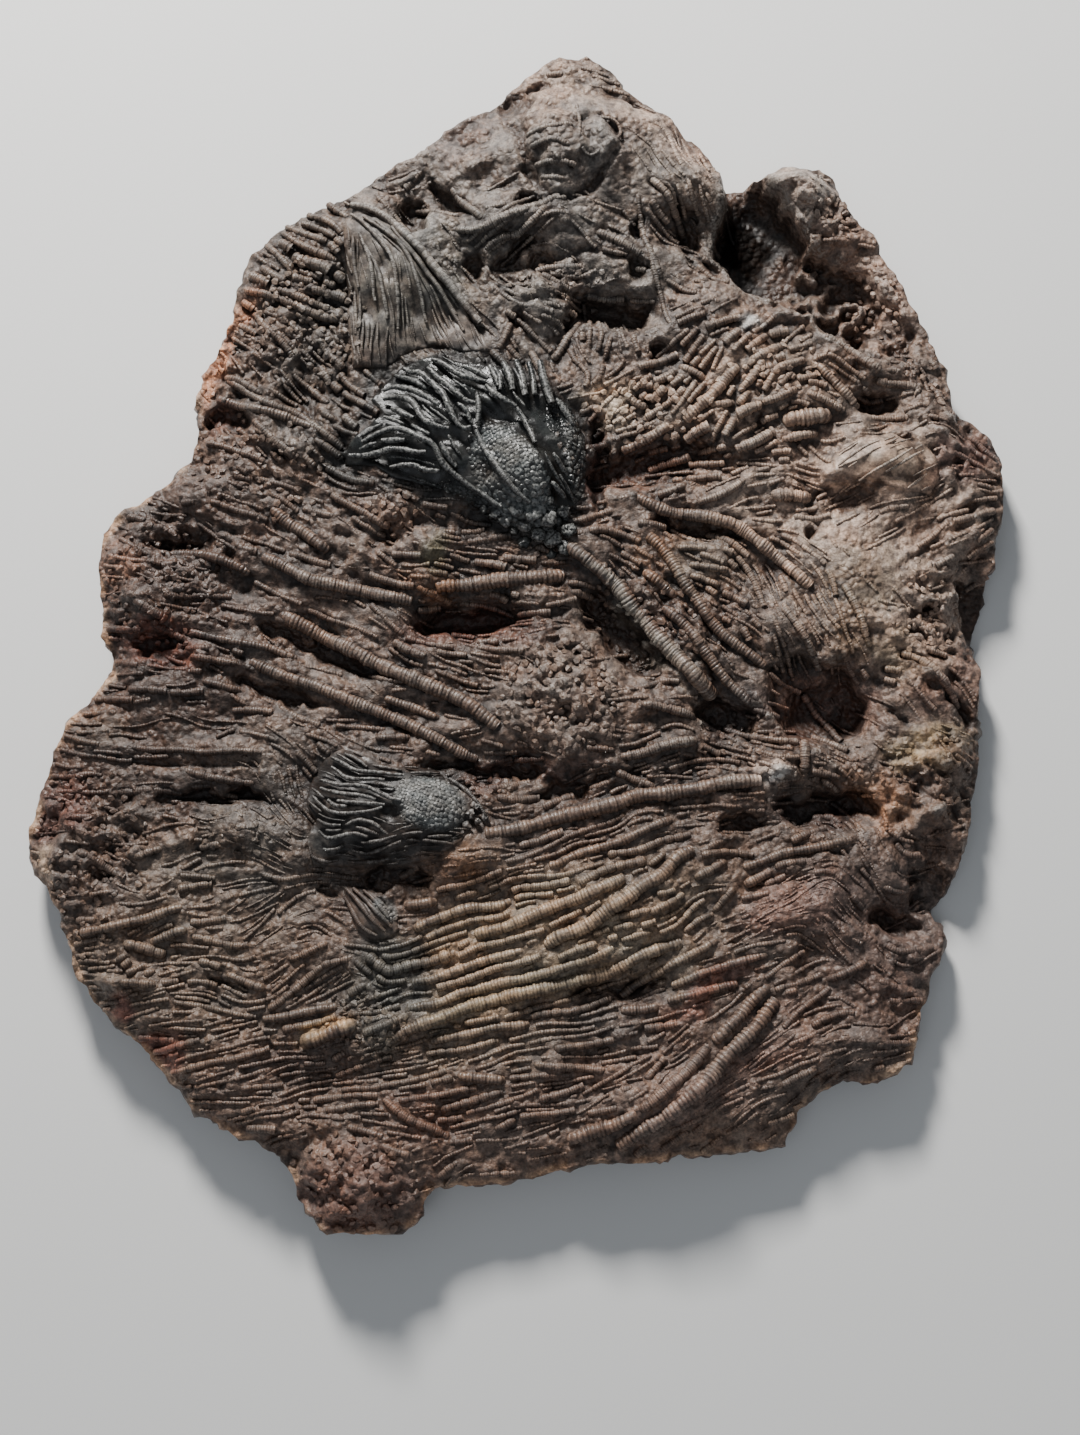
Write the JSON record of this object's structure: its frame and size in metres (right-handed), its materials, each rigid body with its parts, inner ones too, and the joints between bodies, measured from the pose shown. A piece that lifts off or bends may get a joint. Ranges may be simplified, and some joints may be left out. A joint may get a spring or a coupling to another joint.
{
  "type": "crinoid fossil slab",
  "caption": "Brown limestone slab lying face up, with crinoid crowns, cups and long ringed stems standing in relief on its broken surface.",
  "frame": {"origin": "middle of the slab's bounding box, on the plane of its flat back", "axes": "+Z out of the fossil face, +Y towards the slab's peak, +X to the right when the face is looked at with the peak up"},
  "size_m": [0.447, 0.546, 0.0539],
  "materials": {
    "limestone": "rough broken brown-grey limestone",
    "stem_calcite": "worn tan-grey calcite, slightly smooth",
    "crown_calcite": "charcoal-grey calcite, slight gloss"
  },
  "bodies": {
    "root": {"branch_stem": "stem_calcite", "bundle_stem_1": "stem_calcite", "bundle_stem_10": "stem_calcite", "bundle_stem_2": "stem_calcite", "bundle_stem_3": "stem_calcite", "bundle_stem_4": "stem_calcite", "bundle_stem_5": "stem_calcite", "bundle_stem_6": "stem_calcite", "bundle_stem_7": "stem_calcite", "bundle_stem_8": "stem_calcite", "bundle_stem_9": "stem_calcite", "dark_rod": "stem_calcite", "edge_strand": "stem_calcite", "foot_rod": "stem_calcite", "forked_stem": "stem_calcite", "high_left_stem": "stem_calcite", "inner_stem": "stem_calcite", "leaf_cup": "crown_calcite", "left_stem": "stem_calcite", "left_stem_tip": "stem_calcite", "long_rod": "stem_calcite", "low_left_rod": "stem_calcite", "low_left_stem": "stem_calcite", "low_right_stem": "stem_calcite", "lower_crown": "crown_calcite", "lower_stem": "stem_calcite", "matrix": "limestone", "pale_rod": "stem_calcite", "right_stem": "stem_calcite", "ringed_barrel": "stem_calcite", "ringed_block": "stem_calcite", "ringed_stem": "stem_calcite", "short_ringed_stem": "stem_calcite", "shoulder_stem": "stem_calcite", "slope_stem": "stem_calcite", "tan_rod": "stem_calcite", "tan_stem": "stem_calcite", "thin_left_stem": "stem_calcite", "top_crown": "crown_calcite", "twin_stem_left": "stem_calcite", "twin_stem_right": "stem_calcite", "under_stem": "stem_calcite", "upper_crown": "crown_calcite", "upper_stem": "stem_calcite", "wavy_rod": "stem_calcite", "wavy_stem": "stem_calcite", "worn_crown": "crown_calcite"}
  },
  "joints": []
}
